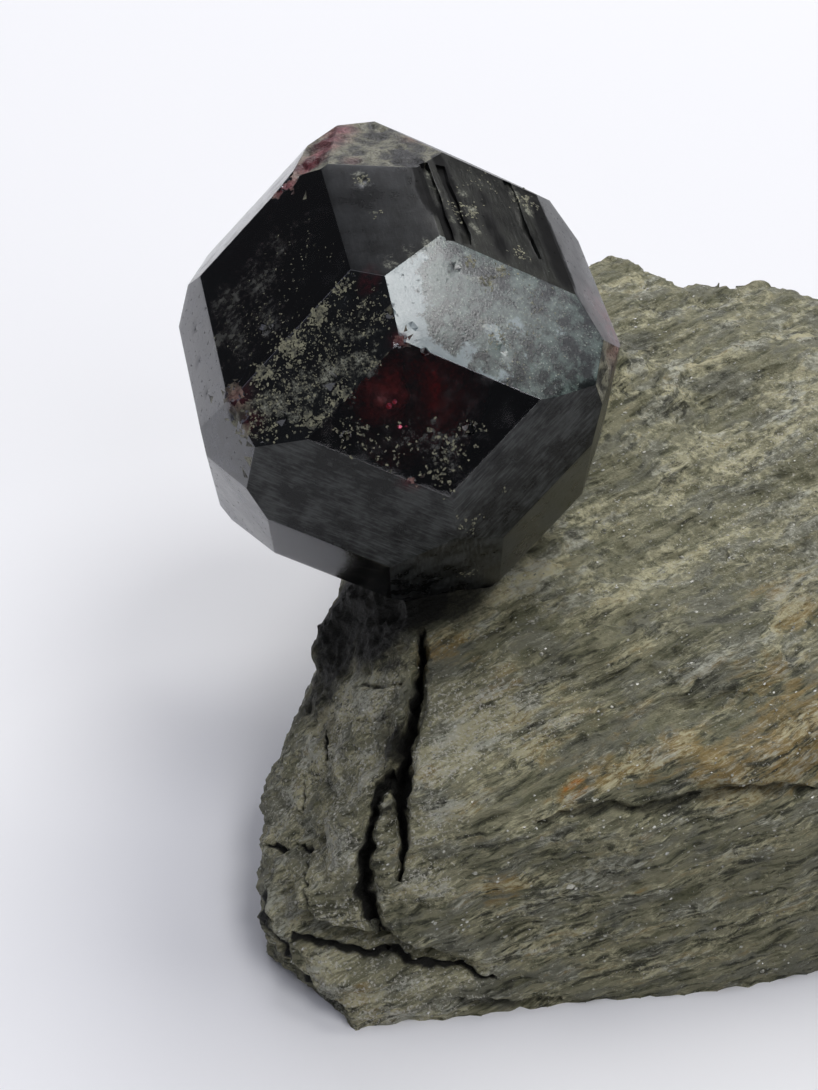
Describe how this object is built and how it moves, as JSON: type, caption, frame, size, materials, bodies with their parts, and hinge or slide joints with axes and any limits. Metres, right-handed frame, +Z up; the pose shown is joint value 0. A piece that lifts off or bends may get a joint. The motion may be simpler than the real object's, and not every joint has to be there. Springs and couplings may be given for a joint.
{
  "type": "garnet in matrix",
  "caption": "Dark red garnet crystal with flat faces, held at one end of a thick broken slab of greenish grey mica schist.",
  "frame": {"origin": "bottom centre of the whole object's box, on the plane it rests on", "axes": "+Z up, +X along the slab from the garnet's end to the far broken end, +Y from the sloping front to the back"},
  "size_m": [0.0616, 0.0516, 0.0326],
  "materials": {
    "garnet": "dark red, almost black crystal, glassy to satin faces with a thin grey film and small pits",
    "mica_schist": "rough layered stone, greenish grey with brown streaks and fine glinting mica"
  },
  "bodies": {
    "root": {"garnet_crystal": "garnet", "schist_matrix": "mica_schist"}
  },
  "joints": []
}
